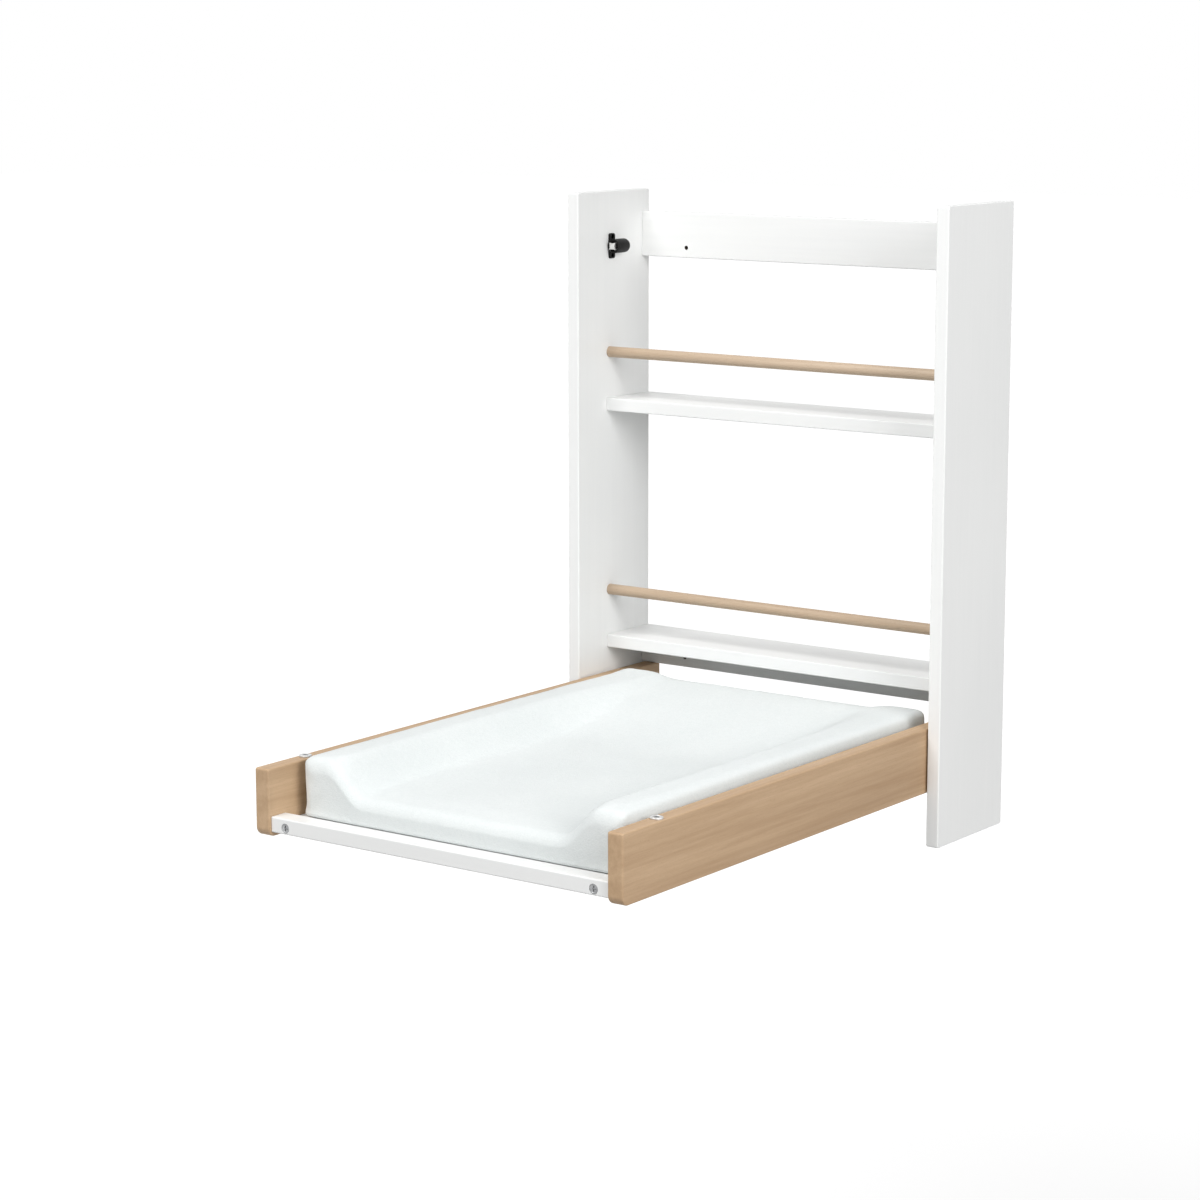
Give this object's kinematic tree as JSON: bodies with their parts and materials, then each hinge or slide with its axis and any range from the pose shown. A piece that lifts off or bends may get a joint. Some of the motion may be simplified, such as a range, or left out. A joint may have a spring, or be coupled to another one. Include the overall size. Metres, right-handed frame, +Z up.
{
  "type": "wall-mounted folding changing table",
  "caption": "Wall-hung folding changing table: white side panels with shelves and beech dowel rails, and a beech-sided tray with a contoured mat that folds up between push catches.",
  "frame": {"origin": "centre of the top wall rail's back face, on the wall plane", "axes": "+X to the user's right facing the wall, +Y into the wall, +Z up"},
  "size_m": [0.6, 0.838, 0.832],
  "materials": {
    "white_lacquer": "white satin lacquer on board",
    "beech": "clear matt varnish on beech",
    "mat_cover": "soft wipe-clean white cover over foam",
    "black_plastic": "moulded, satin",
    "black_steel": "blackened steel",
    "white_nylon": "natural nylon",
    "zinc": "die-cast zinc, dull grey",
    "steel": "zinc-plated steel"
  },
  "bodies": {
    "wall_frame": {"left_side_panel": "white_lacquer", "right_side_panel": "white_lacquer", "top_wall_rail": "white_lacquer", "bottom_wall_rail": "white_lacquer", "lower_shelf": "white_lacquer", "upper_shelf": "white_lacquer", "lower_dowel_rail": "beech", "upper_dowel_rail": "beech", "top_wall_rail_left_cam_nut": "zinc", "top_wall_rail_left_cam_bolt": "steel", "top_wall_rail_right_cam_nut": "zinc", "top_wall_rail_right_cam_bolt": "steel", "bottom_wall_rail_left_cam_nut": "zinc", "bottom_wall_rail_left_cam_bolt": "steel", "bottom_wall_rail_right_cam_nut": "zinc", "bottom_wall_rail_right_cam_bolt": "steel", "lower_shelf_left_cam_nut": "zinc", "lower_shelf_left_cam_bolt": "steel", "lower_shelf_right_cam_nut": "zinc", "lower_shelf_right_cam_bolt": "steel", "upper_shelf_left_cam_nut": "zinc", "upper_shelf_left_cam_bolt": "steel", "upper_shelf_right_cam_nut": "zinc", "upper_shelf_right_cam_bolt": "steel", "left_catch_housing": "black_plastic", "left_catch_screw_upper": "black_steel", "left_catch_screw_lower": "black_steel", "left_pivot_bolt": "steel", "left_pivot_insert": "zinc", "left_pivot_washer": "white_nylon", "right_catch_housing": "black_plastic", "right_catch_screw_upper": "black_steel", "right_catch_screw_lower": "black_steel", "right_pivot_bolt": "steel", "right_pivot_insert": "zinc", "right_pivot_washer": "white_nylon"},
    "tray": {"left_tray_side": "beech", "right_tray_side": "beech", "tray_front_bar": "white_lacquer", "tray_rear_bar": "white_lacquer", "tray_base_panel": "white_lacquer", "changing_mat": "mat_cover", "tray_front_bar_left_cam_nut": "zinc", "tray_front_bar_left_cam_bolt": "steel", "tray_front_bar_right_cam_nut": "zinc", "tray_front_bar_right_cam_bolt": "steel", "tray_rear_bar_left_cam_nut": "zinc", "tray_rear_bar_left_cam_bolt": "steel", "tray_rear_bar_right_cam_nut": "zinc", "tray_rear_bar_right_cam_bolt": "steel", "left_pivot_bush": "white_nylon", "left_strike_disc": "steel", "left_strike_screw": "zinc", "right_pivot_bush": "white_nylon", "right_strike_disc": "steel", "right_strike_screw": "zinc"},
    "left_plunger": {"left_catch_plunger": "steel"},
    "right_plunger": {"right_catch_plunger": "steel"}
  },
  "joints": [
    {"name": "tray_fold", "type": "hinge", "parent": "wall_frame", "child": "tray", "pos_m": [0, -0.1317, -0.639], "axis": [-1, 0, 0], "range_deg": [0, 90]},
    {"name": "left_catch_push", "type": "slide", "parent": "wall_frame", "child": "left_plunger", "axis": [0, 1, 0], "range_m": [0, 0.003], "stiffness_N_per_m": 900, "springref_m": -0.004},
    {"name": "right_catch_push", "type": "slide", "parent": "wall_frame", "child": "right_plunger", "axis": [0, 1, 0], "range_m": [0, 0.003], "stiffness_N_per_m": 900, "springref_m": -0.004}
  ]
}
